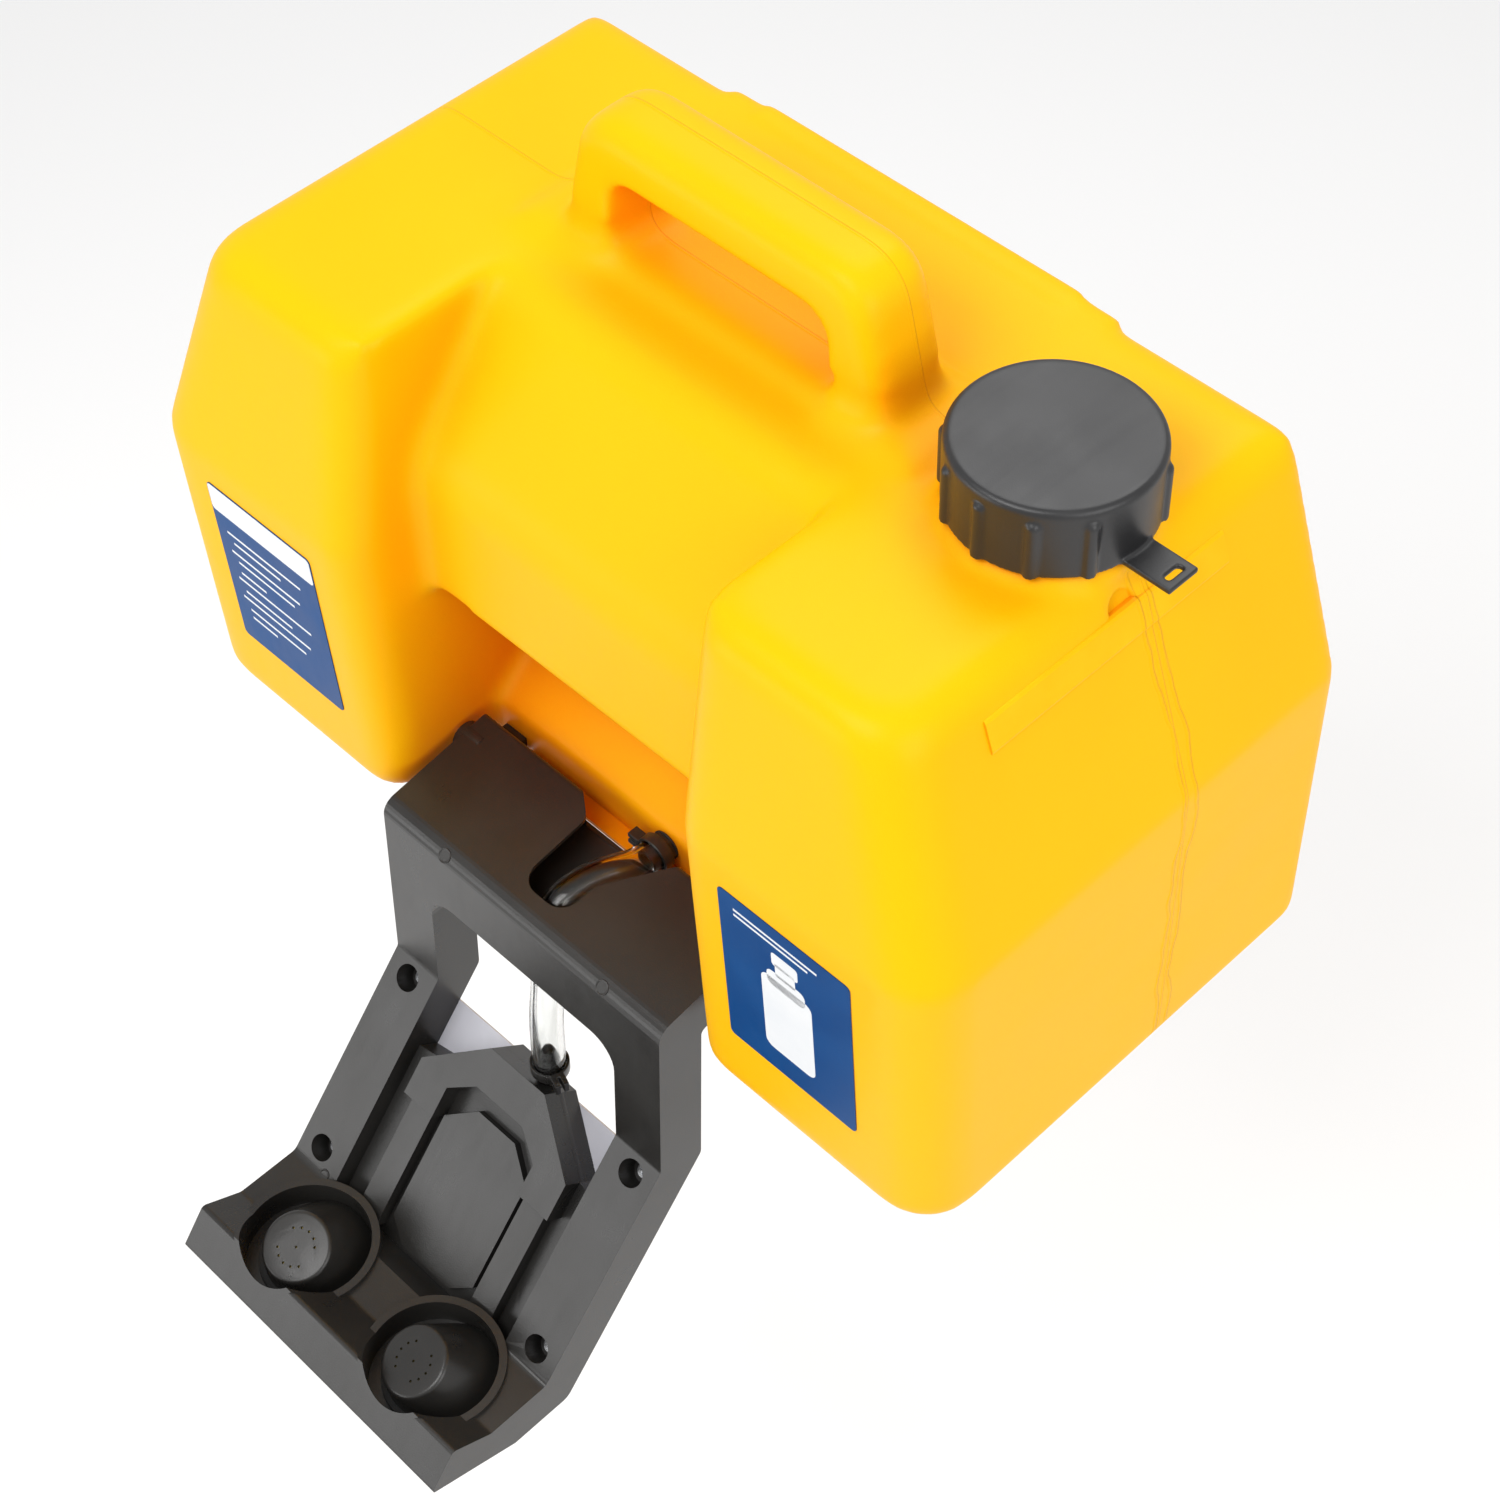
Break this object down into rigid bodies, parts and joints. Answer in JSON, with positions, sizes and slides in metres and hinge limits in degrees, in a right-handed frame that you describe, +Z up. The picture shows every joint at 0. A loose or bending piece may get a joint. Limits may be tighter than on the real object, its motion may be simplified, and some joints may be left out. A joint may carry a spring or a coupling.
{
  "type": "eyewash station",
  "caption": "Portable gravity-fed eyewash: saddle-shaped water tank with handle and screw cap, and a fold-down arm with two spray heads fed by a hose.",
  "frame": {"origin": "on the tank's flat back, at the middle of its bottom edge", "axes": "+X along the tank to the user's right, -Y towards the user, +Z up"},
  "size_m": [0.56, 0.481, 0.6485],
  "materials": {
    "yellow_plastic": "blow-moulded polyethylene, satin sheen with fine mould grain",
    "black_plastic": "moulded black plastic, semi-gloss",
    "black_nylon": "nylon clamp",
    "clear_pvc": "clear soft tube",
    "white_plastic": "smooth",
    "label_print": "printed vinyl film",
    "label_print_2": "printed vinyl film",
    "zinc": "bright zinc plating",
    "steel": "turned steel",
    "rubber": "matt",
    "red_rubber": "matt",
    "nylon": "natural nylon",
    "foam": "open-cell foam"
  },
  "bodies": {
    "tank": {"tank_shell": "yellow_plastic", "left_label": "label_print", "right_label": "label_print_2", "pivot_pins": "steel", "outlet_fitting": "black_nylon", "outlet_washer": "rubber", "outlet_nut": "white_plastic", "strainer": "steel", "outlet_clamp": "black_nylon", "hose": "clear_pvc"},
    "arm": {"arm_front_shell": "black_plastic", "arm_rear_shell": "black_plastic", "pivot_bushes": "nylon", "arm_screws": "zinc", "manifold": "black_plastic", "manifold_cover": "black_plastic", "inlet_clamp": "black_nylon", "left_head": "black_plastic", "right_head": "black_plastic", "left_filter": "foam", "right_filter": "foam", "head_seals": "rubber", "sign_plate": "white_plastic", "sign_rivets": "steel"},
    "cap_ring": {"cap_gasket": "red_rubber"},
    "cap": {"filler_cap": "black_plastic"}
  },
  "joints": [
    {"name": "arm_fold", "type": "hinge", "parent": "tank", "child": "arm", "pos_m": [0, -0.238, 0.022], "axis": [-1, 0, 0], "range_deg": [0, 140], "deforming": ["hose"]},
    {"name": "cap_lift", "type": "slide", "parent": "tank", "child": "cap_ring", "axis": [0, 0, 1], "range_m": [0, 0.006]},
    {"name": "cap_turn", "type": "hinge", "parent": "cap_ring", "child": "cap", "pos_m": [0.19, -0.12, 0.33], "axis": [0, 0, 1], "range_deg": [0, 540]}
  ],
  "couplings": [
    {"joint": "cap_lift", "follows": "cap_turn", "m_per_rad": 0.00063662}
  ]
}
